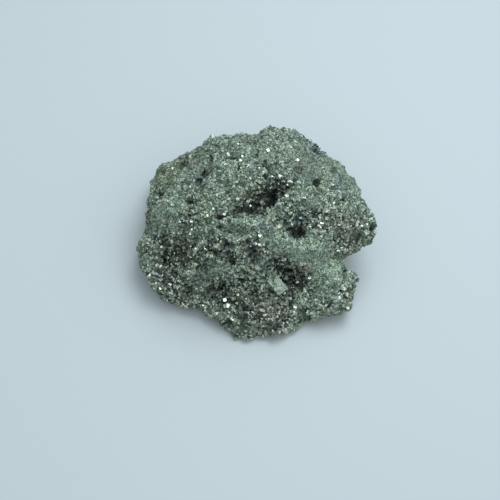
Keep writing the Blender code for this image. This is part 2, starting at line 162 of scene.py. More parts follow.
SMOOTH_PATCHES = patches(
    ("ridge below the main hollow", 1.2, 7.0, 8.0, 2.2, -8, 0.5),
    ("ridge across to the notch", 10.2, 1.4, 7.5, 3.0, -28, 1.0),
    ("above the notch", 16.0, -1.0, 6.0, 3.6, -10, 0.8),
    ("paw", 18.2, -5.8, 5.4, 5.6, 0, 1.0),
    ("streak on the left shoulder", -20.2, 11.9, 5.5, 2.2, 58, 0.9),
    ("top left", -5.7, 20.4, 4.2, 2.6, 0, 0.6),
    ("top", 2.9, 22.8, 3.4, 3.2, 0, 0.6),
    ("right of the front rim", 12.4, -13.0, 1.6, 1.2, -60, 0.8),
    ("beside the slab", -1.0, -9.2, 1.2, 1.2, 0, 0.7),
    ("left of the middle", -7.9, -3.3, 1.5, 2.0, 20, 0.8),
    ("summit", -0.9, 24.0, 1.9, 1.3, 20, 0.7),
    ("left knee", -24.6, -0.8, 2.2, 3.2, 0, 0.3),
    ("lump below the left recess", -14.8, -4.8, 3.2, 1.6, 18, 0.8),
    ("rim of the pocket", -4.4, -10.2, 2.2, 1.4, 20, 0.8),
    ("left slope", -17.6, 8.6, 3.8, 3.0, 0, 1.0),
    ("far left", -21.5, 8.0, 3.0, 4.5, 0, 0.7),
    ("below the horn", 22.3, 0.8, 1.9, 1.3, 0, 0.9),
    ("above the front rim", 15.8, -16.4, 1.8, 1.2, 20, 0.8),
)
DULL_PATCHES = patches(
    ("right back slope", 23.0, 20.0, 11.0, 4.5, -52, 1.0),
    ("back left ledge", -21.0, 18.5, 7.0, 4.0, 45, 0.9),
    ("right of the summit", 13.5, 20.5, 8.0, 4.5, -25, 0.9),
    ("top", 3.5, 24.0, 8.0, 3.6, 0, 0.5),
)
# Painted light: where these patches hold, the crust is made paler, as if more light fell there.
PAINTED_LIGHT_PATCHES = patches(
    ("middle", -3.0, -5.4, 6.0, 3.8, 0, 2.1),
    ("front right", 13.6, -14.0, 8.0, 3.4, 15, 1.6),
    ("ridge across to the notch", 10.5, -0.4, 7.0, 3.0, -12, 0.7),
    ("above the notch", 15.0, -3.2, 2.6, 1.6, 0, 0.7),
    ("left shoulder", -18.5, 8.8, 5.5, 4.5, 0, 0.8),
    ("below the horn", 22.0, 0.7, 3.0, 2.3, 0, 1.3),
    ("below the slab", 11.0, -11.4, 3.2, 1.4, 5, 0.9),
    ("left recess's rim", -17.4, 3.1, 3.4, 1.6, 10, 1.3),
    ("pocket's rim", -1.6, -9.6, 3.4, 1.5, 0, 1.3),
    ("trench's grains", 10.6, -5.7, 2.0, 1.1, 0, 1.1),
    ("main hollow's upper wall", 3.0, 13.6, 2.4, 1.1, 0, 1.6),
    ("lower left's edge", -23.2, -7.6, 2.2, 2.6, 0, 1.2),
    ("front rim", 16.2, -15.8, 3.0, 2.0, 10, 1.2),
    ("paw's rim", 22.3, -10.2, 1.6, 2.0, 0, 0.9),
    ("right of the recess", -14.6, -0.9, 1.7, 1.9, 0, 0.7),
    ("left of the trench", 1.5, -5.1, 1.4, 1.0, 0, 1.0),
    ("foot of the notch ridge", 7.5, -1.2, 1.5, 1.0, 0, 0.8),
    ("left recess", -15.5, -0.8, 6.5, 4.5, 0, 1.2),
    ("left of the middle", -8.0, 1.2, 5.5, 3.8, 0, 0.4),
    ("small pocket", 0.0, -1.0, 4.5, 3.6, 0, 0.3),
    ("paw's foot", 20.8, -14.8, 2.2, 1.6, 0, 0.9),
)
# Pits are dug into the ground and are also darkened there with painted shade.
PITS_WITH_PAINTED_SHADE = patches(
    ("main hollow's core", 4.5, 12.2, 2.3, 2.0, 0, 1.6),
    ("main hollow", 4.6, 12.6, 3.8, 3.0, 35, 0.2),
    ("main hollow's left half", 1.2, 10.3, 4.0, 1.9, 20, 1.6),
    ("main hollow's left end", -2.8, 9.2, 2.4, 1.4, 45, 1.6),
    ("main hollow's far wall", 5.2, 16.2, 3.0, 1.8, 20, 0.4),
    ("main hollow's right end", 8.4, 14.6, 1.1, 2.2, -15, 1.3),
    ("second hollow", 10.9, 4.3, 2.3, 1.8, -20, 1.6),
    ("second hollow's left side", 8.6, 6.4, 1.4, 1.3, 0, 1.9),
    ("second hollow's shelf", 12.2, 7.6, 2.0, 2.6, 0, 0.2),
    ("trench's upper end", 6.0, -3.4, 2.4, 1.3, -45, 0.9),
    ("trench", 9.0, -5.0, 2.8, 1.1, -8, 1.1),
    ("trench's lower end", 10.0, -7.6, 1.3, 2.2, 0, 0.8),
    ("trench's right branch", 13.0, -7.7, 2.0, 1.0, -60, 0.2),
    ("trench's tail", 14.3, -9.3, 1.6, 0.7, -20, 0.5),
    ("small pocket", 0.8, -1.2, 1.6, 1.8, 0, 1.2),
    ("left of the small pocket", -4.1, -2.4, 1.5, 1.2, 0, 1.9),
    ("below the small pocket", -2.4, -7.3, 1.8, 0.9, -8, 1.8),
    ("above the toe", 2.4, -11.4, 1.9, 1.5, 0, 0.5),
    ("above the toe, left", 0.2, -10.9, 1.1, 1.3, 0, 1.1),
    ("above the toe, right", 4.9, -10.7, 0.9, 1.3, 0, 1.3),
    ("toe's upper crease", -0.2, -14.2, 2.4, 0.9, 10, 1.3),
    ("toe's left hole", -5.3, -17.9, 1.9, 1.6, 0, 1.9),
    ("toe's hole", -1.5, -16.5, 1.5, 1.2, 0, 2.2),
    ("above the ball", 7.2, -18.8, 2.0, 1.2, -10, 2.8),
    ("right of the toe", 8.7, -17.0, 1.1, 0.9, 0, 2.2),
    ("front rim", 13.1, -16.9, 2.0, 0.9, 0, 1.0),
    ("paw", 18.9, -13.5, 0.9, 1.0, 0, 2.3),
    ("beside the slab", 7.5, -11.3, 1.1, 0.6, 0, 0.7),
    ("in the slab", 5.8, -8.3, 0.9, 0.6, -50, 1.6),
    ("pocket left of the slab", 1.2, -7.2, 1.2, 0.7, 0, 1.5),
    ("left recess", -17.2, 0.6, 1.9, 2.4, 10, 0.8),
    ("left recess's left side", -20.9, 2.0, 2.0, 2.2, 30, 0.2),
    ("left recess's foot", -20.4, -2.7, 2.6, 1.2, -60, 2.1),
    ("left recess's corner", -17.4, -3.0, 2.2, 1.2, 45, 1.5),
    ("below the left recess", -18.4, -5.4, 1.3, 1.0, 0, 1.6),
    ("left knee", -22.9, 2.9, 0.9, 0.9, 0, 1.7),
    ("lower left", -12.5, -3.9, 1.1, 0.9, 0, 1.1),
    ("lower left's hole", -14.7, -10.6, 1.2, 1.4, 0, 1.6),
    ("pocket below the middle", -7.6, -8.0, 3.2, 1.8, 30, 0.6),
    ("pocket's lower side", -6.5, -10.2, 1.6, 1.8, -40, 0.6),
    ("pocket's foot", -7.6, -12.5, 2.0, 0.8, 0, 0.5),
    ("left of the pocket", -9.3, -10.8, 1.2, 1.1, 0, 0.6),
    ("left of the toe", -4.1, -12.9, 1.1, 0.8, 0, 2.8),
    ("left of the middle", -8.2, 1.7, 1.8, 0.9, 10, 1.1),
    ("left of the middle, lower", -9.2, -0.7, 1.1, 0.8, 0, 2.2),
    ("between the recess and the middle", -12.5, -0.7, 2.0, 1.0, 0, 0.7),
    ("above the recess", -12.6, 3.0, 1.6, 1.3, 0, 0.6),
    ("upper left pit", -12.2, 16.5, 1.3, 2.0, 25, 1.5),
    ("upper left pit's upper end", -11.0, 18.4, 1.2, 1.0, 0, 1.3),
    ("upper left groove", -9.9, 22.0, 2.0, 0.8, 62, 2.8),
    ("back left ledge", -16.3, 20.5, 2.0, 1.0, 20, 1.8),
    ("left shoulder", -21.8, 13.3, 1.7, 0.8, 40, 2.5),
    ("left shoulder's crease", -19.3, 16.0, 1.2, 0.7, 35, 0.7),
    ("left slope", -14.8, 11.4, 1.7, 0.9, 35, 2.1),
    ("left slope's foot", -15.6, 6.1, 1.7, 0.9, 25, 1.1),
    ("left slope's right foot", -13.6, 6.9, 1.6, 0.8, -30, 0.4),
    ("below the ridge", -7.4, 5.6, 1.0, 0.7, 20, 1.9),
    ("left of the main hollow", -7.2, 8.0, 1.8, 0.8, -8, 1.9),
    ("above the main hollow's end", -3.6, 11.8, 0.9, 1.1, 0, 0.8),
    ("top left", -8.5, 25.4, 1.3, 0.8, 0, 1.6),
    ("summit", 0.6, 25.9, 1.7, 0.8, 10, 1.6),
    ("below the summit", 1.5, 22.9, 0.8, 1.3, 0, 1.8),
    ("right slope's hole", 16.6, 16.4, 1.3, 1.0, 20, 2.0),
    ("right slope", 22.8, 12.5, 1.1, 0.8, 0, 1.7),
    ("right rim", 16.0, 24.4, 2.0, 1.0, -35, 2.7),
    ("beside the second hollow", 15.6, 8.7, 1.9, 1.8, 0, 1.3),
    ("horn's foot", 21.0, 7.8, 1.0, 0.7, 0, 1.5),
    ("under the horn", 25.4, 3.2, 1.8, 1.7, 0, 0.4),
    ("notch", 22.3, -4.2, 1.0, 0.7, 0, 2.6),
    ("between the hollows", 6.4, 7.0, 2.2, 1.3, 30, 1.2),
    ("above the second hollow", 11.8, 19.3, 1.9, 1.0, -20, 0.9),
    ("right of the main hollow", 10.5, 13.1, 1.0, 0.9, 0, 2.1),
    ("above the main hollow", 3.3, 17.4, 1.2, 1.0, 0, 1.2),
    ("right slope's rim", 20.2, 19.2, 1.3, 0.9, -50, 1.2),
    ("right of the second hollow", 15.8, 6.0, 1.3, 0.9, 0, 1.4),
    ("below the middle", -5.4, 1.1, 1.1, 0.8, 0, 0.9),
    ("middle left", -13.1, 1.1, 1.1, 0.8, 0, 0.7),
    ("toe's foot", 1.6, -20.4, 1.2, 0.7, 0, 0.9),
    ("lower left, outer", -15.1, -10.1, 1.0, 0.8, 0, 0.6),
    ("below the main hollow", 1.9, 9.2, 1.7, 0.8, 0, 1.2),
    ("main hollow's right side", 11.2, 14.6, 1.0, 1.6, 0, 0.8),
    ("above the main hollow's left half", -1.3, 11.9, 1.1, 0.8, 0, 1.5),
    ("second hollow's lower left", 8.1, 3.0, 1.0, 0.8, 0, 1.3),
    ("ridge below the main hollow", 4.6, 6.0, 1.5, 0.9, 10, 1.4),
    ("horn's underside", 23.7, 4.7, 1.0, 0.8, 0, 1.2),
    ("horn's middle", 27.8, 6.9, 1.1, 0.8, 0, 0.5),
    ("horn's tip", 30.4, 5.4, 1.6, 2.2, 0, 2.5),
    ("right slope's foot", 17.2, 9.3, 1.1, 0.8, 0, 1.2),
    ("toe's upper left", -3.0, -15.2, 2.9, 0.8, 0, 1.3),
    ("toe's middle", 1.9, -16.5, 2.0, 1.1, 0, 1.1),
    ("left of the summit's slope", -5.9, 14.1, 1.3, 0.9, 0, 1.8),
    ("left shoulder's lower crease", -22.3, 12.4, 1.3, 0.8, 0, 1.4),
    ("outer lower left", -21.1, -5.2, 1.2, 0.9, 0, 1.2),
    ("between the horn and the hollow", 14.2, 7.2, 1.5, 1.0, 0, 1.3),
    ("above the second hollow's left side", 8.6, 10.5, 1.2, 0.9, 0, 1.0),
    ("toe's upper right", 3.3, -13.4, 1.3, 0.8, 0, 0.9),
    ("toe's right hole", 7.3, -16.0, 1.3, 1.0, 0, 1.2),
    ("horn's upper side", 25.2, 8.1, 1.4, 1.0, 0, 0.9),
    ("right slope's upper hole", 20.6, 15.1, 1.2, 0.9, 0, 0.9),
    # Painted shade over the back of the right slope, with hardly any digging.
    ("behind the right slope", 14.5, 23.5, 7.0, 3.0, -35, 0.35),
)
YELLOW_PATCHES = patches(
    ("back left ledge", -20.6, 19.0, 6.5, 3.6, 45, 1.0),
    ("right of the summit", 14.0, 19.5, 4.5, 3.0, -30, 0.5),
    ("toe", 1.7, -18.5, 8.0, 3.0, 0, 0.2),
    ("horn's tip", 30.5, 5.0, 3.0, 3.5, 0, 0.6),
    ("paw's rim", 24.0, -12.0, 2.0, 4.5, 0, 0.5),
    ("left knee", -26.0, 0.5, 1.6, 4.0, 0, 0.4),
)
# In part painted shade: where these patches hold, hollows and the back rims are made bluer and darker.
BLUE_DUST_AND_SHADE_PATCHES = patches(
    ("above the second hollow", 10.8, 17.4, 1.9, 1.5, 0, 0.8),
    ("second hollow's shelf", 11.8, 7.9, 2.6, 1.8, 70, 1.0),
    ("small pocket", 0.6, -0.3, 1.3, 1.3, 0, 0.8),
    ("trench's upper end", 4.4, -3.9, 1.8, 1.2, 0, 0.8),
    ("pit in the upper left", -12.2, 17.2, 1.5, 1.3, 0, 0.8),
    ("right back slope", 22.0, 15.0, 5.0, 2.2, -50, 0.6),
    ("right rim", 15.5, 25.4, 6.0, 1.8, -38, 0.8),
    ("top left rim", -8.0, 24.6, 4.0, 2.0, 5, 0.3),
    ("summit's rim", 5.0, 27.2, 5.0, 1.4, -10, 0.2),
)
BROWN_PATCHES = patches(
    ("toe", 4.5, -15.0, 6.0, 4.0, 0, 0.5),
    ("right of the toe", 8.4, -19.6, 2.6, 2.0, 0, 0.7),
    ("left of the toe", -8.8, -15.5, 3.6, 2.5, -45, 0.2),
    ("horn", 22.5, 5.4, 6.0, 3.0, 5, 0.3),
    ("below the horn", 25.0, 0.2, 2.8, 1.8, 20, 0.4),
    ("front rim", 18.7, -15.8, 3.2, 1.6, 10, 0.5),
    ("trench's right side", 13.1, -4.0, 2.2, 1.8, 0, 0.6),
)
CRACKS = patches(
    ("top left", -4.5, 22.1, 2.0, 0.55, -11, 1.0),
    ("top left, down", -2.9, 20.5, 1.6, 0.50, 90, 1.0),
    ("upper left", -11.0, 20.0, 2.4, 0.55, 67, 1.0),
    ("slab's right edge", 8.0, -7.2, 2.6, 0.50, -47, 1.0),
    ("front rim", 13.0, -14.8, 1.7, 0.45, 0, 0.9),
)
# How deep cracks and pits are at full strength, and the strength from which a crack is bare of crust.
CRACK_DEPTH = 0.7
PIT_DEPTH = 0.5
BARE_CRACK = 0.45

# How far the patches' edges wander and in how long waves, how steep they are, and at which angles to the
# line of sight they give way to noise, as a cosine below 0 and a range of cosines.
PATCH_WANDER = 0.6
WANDER_SPACING = 3.0
PATCH_STEEPNESS = 2
SEEN_BELOW = 0.25
SEEN_RANGE = 0.3

# The noise that places areas on the sides that the front view doesn't see: the distance between them, how
# sharp they are, what turns a share of the surface into a level of the noise, and the share that gives none.
UNSEEN_SPACING = 14.0
PIT_SPACING = 4.0
UNSEEN_CONTRAST = 2.5
SHARE_GAIN = 2
SHARE_CUT = 0.7
NOWHERE = -1.0

# The kinds of growth: the patches that each has in the front view, and for the sides that it doesn't see,
# their share of the surface, the stretch of noise that places the areas, and the distance between them.
Kind = namedtuple("Kind", "patches share shift spacing", defaults=(NOWHERE, 0.0, UNSEEN_SPACING))
KINDS = {
    "coarse": Kind(COARSE_PATCHES, 0.5, 5.0),
    "smooth": Kind(SMOOTH_PATCHES, 0.4, 45.0),
    "dull": Kind(DULL_PATCHES, 0.2, 25.0),
    # The light kind is painted light, which makes the crust paler.
    "light": Kind(PAINTED_LIGHT_PATCHES),
    "pit": Kind(PITS_WITH_PAINTED_SHADE, 0.1, 60.0, PIT_SPACING),
    "crack": Kind(CRACKS),
    "yellow": Kind(YELLOW_PATCHES, 0.2, 75.0),
    "blue": Kind(BLUE_DUST_AND_SHADE_PATCHES, 0.1, 90.0),
    "brown": Kind(BROWN_PATCHES),
}
# Small clouds of yellow and of blue dust are on all sides.
DUST_SPACING = 2.8
MOST_DUST = 0.5
# The stretches of noise that the other uses of it take.
DUST_SHIFTS = {"yellow": 81.0, "blue": 181.0}
WANDER_SHIFTS = (3.0, 9.0)
GRAIN_SHIFT, TINT_SHIFT, MOTTLING_SHIFT = 40.0, 15.0, 33.0

# Colours in linear light: the tarnish's green, the bare grains' warm grey, yellow dust, blue for dust and for
# painted shade, browner grains, the darkest colour, towards which painted shade and dark specks run, and
# clean metal.
GREEN = np.array((0.382, 0.47, 0.370))
WARM = np.array((0.51, 0.51, 0.440))
YELLOW = np.array((0.42, 0.48, 0.345))
BLUE_DUST_AND_SHADE = np.array((0.30, 0.37, 0.355))
BROWN = np.array((0.475, 0.44, 0.375))
DARK = np.array((0.017, 0.026, 0.022))
CLEAN = np.array((0.75, 0.78, 0.66))

# Where between GREEN and WARM the tint lies: it is warmer in coarse growth and greener in smooth growth, and
# varies in clouds and from crystal to crystal, in part with the crystal's shade.
WARM_ON_COARSE = 0.55
GREEN_ON_SMOOTH = 0.35
TINT_CLOUDS = 0.35
TINT_SPACING = 2.2
TINT_SPREAD = 0.15
TINT_BY_SHADE, TINT_BY_ITSELF = 0.8, 0.6

# The shade that multiplies the colour: the crust's and the ground's own, what each kind of growth adds or
# takes, with painted light on the light patches and in part on the smooth ones, and painted shade in pits
# and creases, how it varies from crystal to crystal and how much more towards the dark, and its ends.
CRUST_SHADE = 1.14
GROUND_SHADE = 0.62
# The smooth growth is paler, partly from its own tone and partly as painted light.
SMOOTH_TONE_AND_PAINTED_LIGHT = 0.2
PAINTED_LIGHT_SHADE = 0.35
# DULL_SHADE makes the dull growth darker; in the front view it lies on the back slopes and the top.
DULL_SHADE = 0.22
PAINTED_PIT_SHADE = 0.37
PAINTED_CREASE_SHADE = 0.38
FINE_VARIETY, COARSE_VARIETY, DULL_VARIETY = 0.50, 1.25, 0.15
SHADE_SKEW = 0.12
DARKEST_SHADE = 0.04
FINE_BRIGHTEST, COARSE_BRIGHTEST = 0.80, 1.0

# How fresh the crust and the ground are, from tarnish at 0 to clean metal at 1.
FINE_FRESHNESS, COARSE_FRESHNESS = 0.16, 0.62
SMOOTH_TARNISH, DULL_TARNISH = 0.15, 0.30
FRESH_SPREAD = 0.28
GROUND_FRESH = 0.20

# The looks of the larger crystals, which are mottled, and of the slab where they differ.
CRYSTAL_SHADE = 0.8
CRYSTAL_MOTTLING = 0.30
MOTTLING_SPACING = 2.5
CRYSTAL_FRESH, CRYSTAL_FRESH_ON_COARSE = 0.35, 0.3
SLAB_SHADE = 0.95
SLAB_MOTTLING_SPACING = 0.8

# The materials: dull and fresh pyrite, its fine specks and grain, and the lines on the larger crystals. The
# last three are the sockets that a Mix node takes and gives colours by.
DULL_METAL, FRESH_METAL = 0.25, 1.0
DULL_ROUGHNESS, FRESH_ROUGHNESS = 0.62, 0.22
SPECULAR_LEVEL = 0.2
SPECK_SPACING = 0.28
SPECK_EDGES = (0.42, 0.60)
SPECK_STRENGTH = 0.65
GRAIN_BUMP_SPACING = 0.12
GRAIN_BUMP_DEPTH = 0.02
CRUST_BUMP = 0.4
GROUND_BUMP = 0.8
CRYSTAL_BUMP = 0.35
STRIATION_SPACING = 0.9
STRIATION_DEPTH = 0.02
STRIATION_WAVER = 0.6
STRIATION_DETAIL = 1.0
STRIATION_BUMP = 0.5
NOISE_DETAIL = 3.0
MIX_FIRST, MIX_SECOND, MIX_RESULT = 6, 7, 2

# The studio, in metres: the floor, a soft key light from behind on the right, and light from all round,
# strongest towards SKY_MIDDLE.
FLOOR_COLOUR = (0.520, 0.565, 0.588)
FLOOR_ROUGHNESS = 0.75
FLOOR_SIZE = 6.0
LIGHT_COLOUR = (0.90, 1.0, 1.035)
KEY_PLACE = Vector((0.09, 0.085, 0.33))
KEY_AIM = Vector((0, 0, 0.01))
KEY_SIZE = 0.22
KEY_POWER = 0.60
SKY_MIDDLE = (0.30, -0.16, 0.94)
SKY_REACH = (0.35, 1.0)
SKY_EDGE = 0.28
SKY_TOP = 1.30

# Small crystals with a clean face that mirrors the key light to the front view: how far they stand out, the
# range of their shades, how fresh they are, and the place across and up and the edge of each.
SPARK_LIFT = 0.12
SPARK_SHADE = (0.22, 0.6)
SPARK_FRESH = 0.9
SPARKS = (
    (-24.0, -6.3, 0.8), (-21.6, -9.1, 1.1), (-5.5, -13.5, 0.9), (-8.9, -12.6, 0.7), (-4.2, -16.6, 0.7),
    (-13.2, -3.9, 0.6), (1.3, -5.0, 0.6), (1.8, -5.6, 0.6), (3.8, -5.7, 0.7), (8.2, -6.4, 0.7),
    (9.2, -6.1, 0.5), (9.9, -6.1, 0.6), (12.8, -3.9, 0.6), (14.3, -6.8, 0.6), (8.5, -9.5, 0.7),
    (2.9, -10.8, 0.5), (10.9, -13.8, 0.7), (10.2, -14.9, 0.5), (11.6, -16.3, 0.6), (14.6, -16.4, 0.6),
    (23.6, -14.1, 0.7), (23.9, -13.0, 0.6), (9.0, -19.4, 0.5), (17.0, -1.6, 0.6), (19.1, 1.0, 0.5),
    (22.0, 0.6, 0.5), (2.1, 2.7, 0.5), (2.2, 1.1, 0.6), (0.0, 1.1, 0.7), (3.5, -0.3, 0.6),
    (4.3, 5.8, 0.6), (-18.6, 19.5, 0.6), (-14.3, 15.1, 0.5), (-8.3, 17.7, 0.6), (-2.3, 21.4, 0.6),
    (-1.8, 22.5, 0.5), (-6.4, 13.5, 0.6), (-16.4, 4.0, 0.7), (-12.0, 7.0, 0.5), (-6.2, 8.5, 0.6),
    (-10.2, 3.9, 0.5), (-19.0, 2.7, 0.5), (0.0, 10.6, 0.5), (4.3, 23.8, 0.7), (10.8, 25.9, 0.5),
    (11.4, 21.5, 0.6), (9.8, 16.4, 0.6), (7.7, 14.5, 0.5), (13.0, 12.7, 0.7), (11.8, 9.8, 0.6),
    (20.1, 11.3, 0.5), (18.7, 14.3, 0.5), (29.2, 7.4, 0.5), (29.3, 6.4, 0.4), (27.0, 5.7, 0.5),
    (19.9, 1.8, 0.5), (17.0, 3.3, 0.5), (13.4, -5.9, 0.5), (10.5, 9.5, 0.4), (9.2, 15.7, 0.6),
    (5.4, 17.7, 0.4), (2.1, 17.5, 0.5), (2.3, 19.6, 0.4), (-5.9, 20.4, 0.5), (-4.5, -0.8, 0.6),
    (-2.3, -1.1, 0.6), (-9.0, 0.6, 0.5), (-4.9, -4.9, 0.7), (-3.3, -8.8, 0.7), (-3.3, -9.8, 0.6),
    (-3.5, -14.6, 0.6), (-14.8, -5.2, 0.5), (-20.4, 4.7, 0.5), (-19.4, -10.2, 0.5),
)


def added(name, data):
    """A new object in the scene, made from data."""
    made = bpy.data.objects.new(name, data)
    bpy.context.scene.collection.objects.link(made)
    return made


def vertex_rows(mesh, values):
    """The mesh's vertex values of a kind, as rows of three."""
    flat = np.empty(len(mesh.vertices) * 3)
    mesh.vertices.foreach_get(values, flat)
    return flat.reshape(-1, 3)


def mesh_points(mesh):
    """The mesh's vertices in millimetres."""
    return vertex_rows(mesh, "co") / MM


def mesh_normals(mesh):
    return vertex_rows(mesh, "normal")


def mesh_triangles(mesh):
    mesh.calc_loop_triangles()
    flat = np.empty(len(mesh.loop_triangles) * 3, dtype=np.int64)
    mesh.loop_triangles.foreach_get("vertices", flat)
    return flat.reshape(-1, 3)


def triangle_facts(points, triangles):
    """The middle, the normal and the area of each triangle."""
    corners = points[triangles]
    cross = np.cross(corners[:, 1] - corners[:, 0], corners[:, 2] - corners[:, 0])
    area = np.linalg.norm(cross, axis=1) / 2
    return corners.mean(1), cross / np.maximum(2 * area, LEAST_AREA)[:, None], area


def noise_at(points, spacing, shift):
    """Smooth noise from about -1 to 1 at each point, from the stretch of it that starts at shift."""
    return np.array([noise.noise(Vector(p)) for p in points / spacing + shift])


def clumps_at(points, clumps):
    """0 on top of a clump and down to minus its depth in the creases."""
    depth = []
    for p in points / clumps.spacing:
        nearest, second = noise.voronoi(Vector(p))[0][:2]
        depth.append(min(1.0, (second - nearest) * CREASE_STEEPNESS))
    return (np.array(depth) - 1) * clumps.depth


def view_places(points):
    """Places across and up in the front view."""
    away = points - EYE
    share = VIEW_DISTANCE / -(away @ TO_EYE)
    return np.stack([(away @ ACROSS) * share, (away @ UP) * share], 1)


class Surroundings:
    """Where some surface points are in the front view, and how far each kind of growth holds there."""

    def __init__(self, points, normals):
        self.points = points
        wander = np.stack([noise_at(points, WANDER_SPACING, shift) for shift in WANDER_SHIFTS], 1)
        self.places = view_places(points) + PATCH_WANDER * wander
        self.facing = np.clip((normals @ TO_EYE + SEEN_BELOW) / SEEN_RANGE, 0, 1)

    def held(self, kind):
        """How far kind holds: by its patches where the front view sees the point, and by noise elsewhere."""
        seen = np.zeros(len(self.points))
        for patch in kind.patches:
            apart = self.places - (patch.across, patch.up)
            turn = math.radians(patch.heading)
            along = apart @ (math.cos(turn), math.sin(turn)) / patch.half_length
            beside = apart @ (-math.sin(turn), math.cos(turn)) / patch.half_width
            inside = np.clip(PATCH_STEEPNESS * (1 - np.hypot(along, beside)), 0, 1)
            seen = np.maximum(seen, patch.strength * inside)
        level = noise_at(self.points, kind.spacing, kind.shift) * UNSEEN_CONTRAST
        unseen = np.clip(level + SHARE_GAIN * kind.share - SHARE_CUT, 0, 1)
        return seen * self.facing + unseen * (1 - self.facing)


# How far the front view sees a point, how deep in a crease it is, and how far each kind of growth holds.
Growth = namedtuple("Growth", ("seen", "crease", *KINDS))


def growth_at(points, normals):
    """The growth at each point, in values from 0 to 1, or up to a patch's strength where that is above 1."""
    around = Surroundings(points, normals)
    held = {name: around.held(kind) for name, kind in KINDS.items()}
    for name, shift in DUST_SHIFTS.items():
        held[name] = np.maximum(held[name], np.clip(noise_at(points, DUST_SPACING, shift), 0, MOST_DUST))
    clumped = sum(clumps_at(points, clumps) for clumps in CLUMPS) / sum(clumps.depth for clumps in CLUMPS)
    creased = -clumped * (CREASES_ON_FINE + CREASES_ADDED_ON_COARSE * held["coarse"])
    for name in ("smooth", "dull"):
        creased = creased * (1 - CREASES_LOST * held[name])
    return Growth(seen=around.facing, crease=creased, **held)


def plainer(growth, on_slab):
    """The growth with none of the coarse crust or its creases on the slab."""
    off_slab = 1 - on_slab
    smooth = np.maximum(growth.smooth, on_slab)
    return growth._replace(coarse=growth.coarse * off_slab, smooth=smooth, crease=growth.crease * off_slab)


def chosen_growth(growth, index):
    return Growth(*(values[index] for values in growth))


def crystal_groups(points, triangles):
    """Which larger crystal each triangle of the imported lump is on, or -1 for none, and its area."""
    middle, normal, area = triangle_facts(points, triangles)
    _, same = np.unique(points.round(SAME_DIGITS), axis=0, return_inverse=True)
    sharing = defaultdict(list)
    for index, ids in enumerate(same.ravel()[triangles]):
        for a, b in ((0, 1), (1, 2), (2, 0)):
            sharing[frozenset((ids[a], ids[b]))].append(index)
    pairs = np.array([pair for pair in sharing.values() if len(pair) == 2])
    first, second = pairs.T
    cosine = (normal[first] * normal[second]).sum(1)
    convex = ((middle[second] - middle[first]) * normal[first]).sum(1) < 0
    face = linked(len(triangles), pairs[cosine > math.cos(FLAT_ANGLE)])
    members = np.bincount(face, minlength=len(triangles))[face]
    sharp = convex & (cosine < math.cos(SHARP_ANGLE)) & (members[first] > 1) & (members[second] > 1)
    crystal = linked(len(triangles), np.concatenate([pairs[sharp], pairs[cosine > math.cos(FLAT_ANGLE)]]))
    has_edge = np.zeros(len(triangles), dtype=bool)
    has_edge[crystal[pairs[sharp].ravel()]] = True
    total = np.bincount(crystal, weights=area, minlength=len(triangles))[crystal]
    kept = has_edge[crystal] & (total > SMALLEST_CRYSTAL_AREA)
    return np.where(kept, crystal, -1), total


def linked(count, pairs):
    """The lowest index of the chain of pairs that each of count things is in."""
    label = np.arange(count)

    def root(index):
        while label[index] != index:
            label[index] = label[label[index]]
            index = label[index]
        return index

    for a, b in pairs:
        low, high = sorted((root(a), root(b)))
        label[high] = low
    return np.array([root(index) for index in range(count)])


def chosen_crystals(points, triangles):
    """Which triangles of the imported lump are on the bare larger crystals, and which of those on the slab."""
    middle, normal, _ = triangle_facts(points, triangles)
    crystal, area = crystal_groups(points, triangles)
    nearness = ((middle - points.mean(0)) @ TO_EYE)[crystal]
    large = area > SLAB_AREA
    slab = (crystal >= 0) & large & (nearness > SLAB_ABOVE) & (normal @ TO_EYE > SLAB_FACING)
    bare = slab | ((crystal >= 0) & ~large & (nearness < -BARE_BEYOND) & (crystal % BARE_STEP == 0))
    return bare, slab


def islands_of(built):
    """The vertices of each connected part."""
    reached = set()
    found = []
    for start in built.verts:
        if start in reached:
            continue
        reached.add(start)
        island = [start]
        for vert in island:
            others = [edge.other_vert(vert) for edge in vert.link_edges]
            new = [other for other in others if other not in reached]
            reached.update(new)
            island.extend(new)
        found.append(island)
    return found


def grow_roots(built):
    """Closes each open crystal by drawing its rim into the ground and filling it there."""
    rim = [edge for edge in built.edges if edge.is_boundary]
    island_facts = {}
    for island in islands_of(built):
        middle = sum((vert.co for vert in island), Vector()) / len(island)
        outward = sum((vert.normal for vert in island), Vector()).normalized()
        island_facts.update((vert, (middle, outward)) for vert in island)
    grown = bmesh.ops.extrude_edge_only(built, edges=rim)
    roots = [item for item in grown["geom"] if isinstance(item, bmesh.types.BMVert)]
    for root in roots:
        others = [edge.other_vert(root) for edge in root.link_edges]
        middle, outward = next(island_facts[other] for other in others if other in island_facts)
        root.co += (middle - root.co) * ROOT_TAPER - outward * ROOT_LENGTH * MM
    bmesh.ops.holes_fill(built, edges=[edge for edge in built.edges if edge.is_boundary])


def crystal_mesh(source, bare, slab):
    """The bare larger crystals as closed bodies, and which of the faces are on the slab, as 1 or 0."""
    built = bmesh.new()
    built.from_mesh(source.data)
    for face, on_slab in zip(built.faces, slab):
        face.material_index = int(on_slab)
    gone = [face for face, kept in zip(built.faces, bare) if not kept]
    bmesh.ops.delete(built, geom=gone, context="FACES")
    bmesh.ops.remove_doubles(built, verts=built.verts, dist=JOINED_WITHIN * MM)
    slab_edges = [edge for edge in built.edges if any(face.material_index for face in edge.link_faces)]
    bmesh.ops.subdivide_edges(built, edges=slab_edges, cuts=SLAB_CUTS, use_grid_fill=True)
    built.normal_update()
    grow_roots(built)
    bmesh.ops.triangulate(built, faces=built.faces)
    bmesh.ops.recalc_face_normals(built, faces=built.faces)
    mesh = bpy.data.meshes.new("larger_crystals")
    built.to_mesh(mesh)
    built.free()
    mesh.shade_flat()
    on_slab = np.array([float(face.material_index) for face in mesh.polygons])
    mesh.polygons.foreach_set("material_index", np.zeros(len(on_slab), dtype=np.int32))
    return mesh, on_slab


